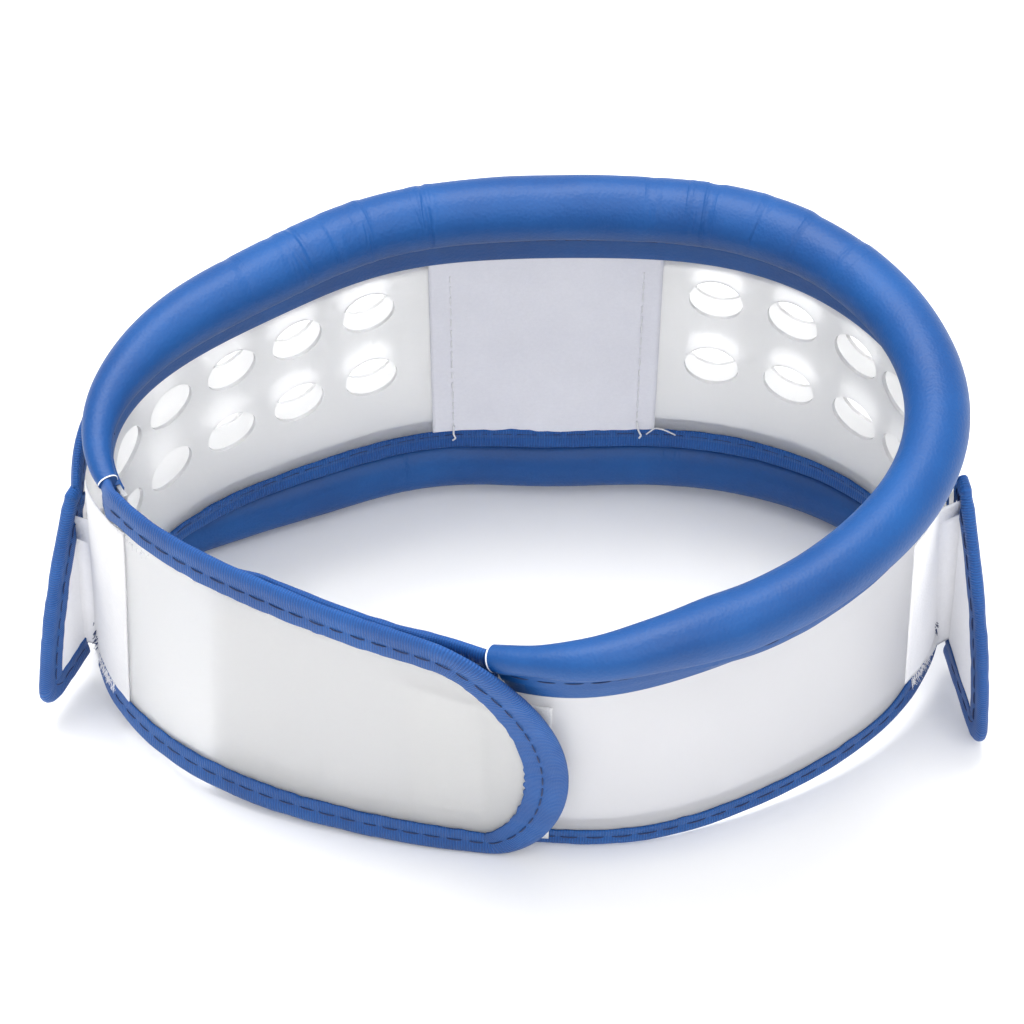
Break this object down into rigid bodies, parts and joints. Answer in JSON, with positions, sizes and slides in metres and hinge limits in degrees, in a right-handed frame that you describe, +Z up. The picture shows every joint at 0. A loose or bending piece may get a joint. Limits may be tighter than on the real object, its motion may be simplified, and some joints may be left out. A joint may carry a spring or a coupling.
{
  "type": "elizabethan collar",
  "caption": "Low elizabethan collar: an oval band of frosted sheet with ventilation holes, padded rolls on rim and foot, folding wings and a taped closure strap.",
  "frame": {"origin": "centre of the collar's outline on the level that it stands on", "axes": "+X across the ring, to the right as seen from the closure tab's side, +Y from the closure tab's side towards the fabric panel at the back, +Z up; the band's own axis tips forward, towards -Y, by about 8 degrees"},
  "size_m": [0.1946, 0.1344, 0.0957],
  "materials": {
    "sheet": "frosted translucent sheet",
    "blue_leather": "fine grained leatherette",
    "blue_tape": "ribbed binding tape",
    "white_fabric": "napped white fabric",
    "white_thread": "spun thread",
    "foam": "open cell foam",
    "hook_and_loop": "hook and loop tape"
  },
  "bodies": {
    "collar": {"left_panel": "sheet", "right_panel": "sheet", "front_panel": "sheet", "back_fabric_panel": "white_fabric", "back_fabric_thread": "white_thread", "left_fold_fabric": "white_fabric", "right_fold_fabric": "white_fabric", "bottom_tape": "blue_tape", "inner_end_tape": "blue_tape", "top_roll_cover": "blue_leather", "top_roll_core": "foam", "outer_panel": "sheet", "outer_top_tape": "blue_tape", "lower_roll_cover": "blue_leather", "lower_roll_core": "foam", "loop_patch": "hook_and_loop"},
    "strap": {"strap_panel": "sheet", "strap_tape": "blue_tape", "hook_patch": "hook_and_loop"},
    "left_wing": {"left_wing_panel": "sheet", "left_wing_tape": "blue_tape"},
    "right_wing": {"right_wing_panel": "sheet", "right_wing_tape": "blue_tape"}
  },
  "joints": [
    {"name": "strap_open", "type": "hinge", "parent": "collar", "child": "strap", "pos_m": [-0.07865, -0.01881, 0.04196], "axis": [0, 0.1421, -0.9899], "range_deg": [0, 90]},
    {"name": "left_wing_fold", "type": "hinge", "parent": "collar", "child": "left_wing", "pos_m": [-0.08801, -0.00132, 0.04346], "axis": [0, 0.1421, -0.9899], "range_deg": [-25, 70]},
    {"name": "right_wing_fold", "type": "hinge", "parent": "collar", "child": "right_wing", "pos_m": [0.08908, 0.00064, 0.04375], "axis": [0, -0.1421, 0.9899], "range_deg": [-20, 40]}
  ]
}
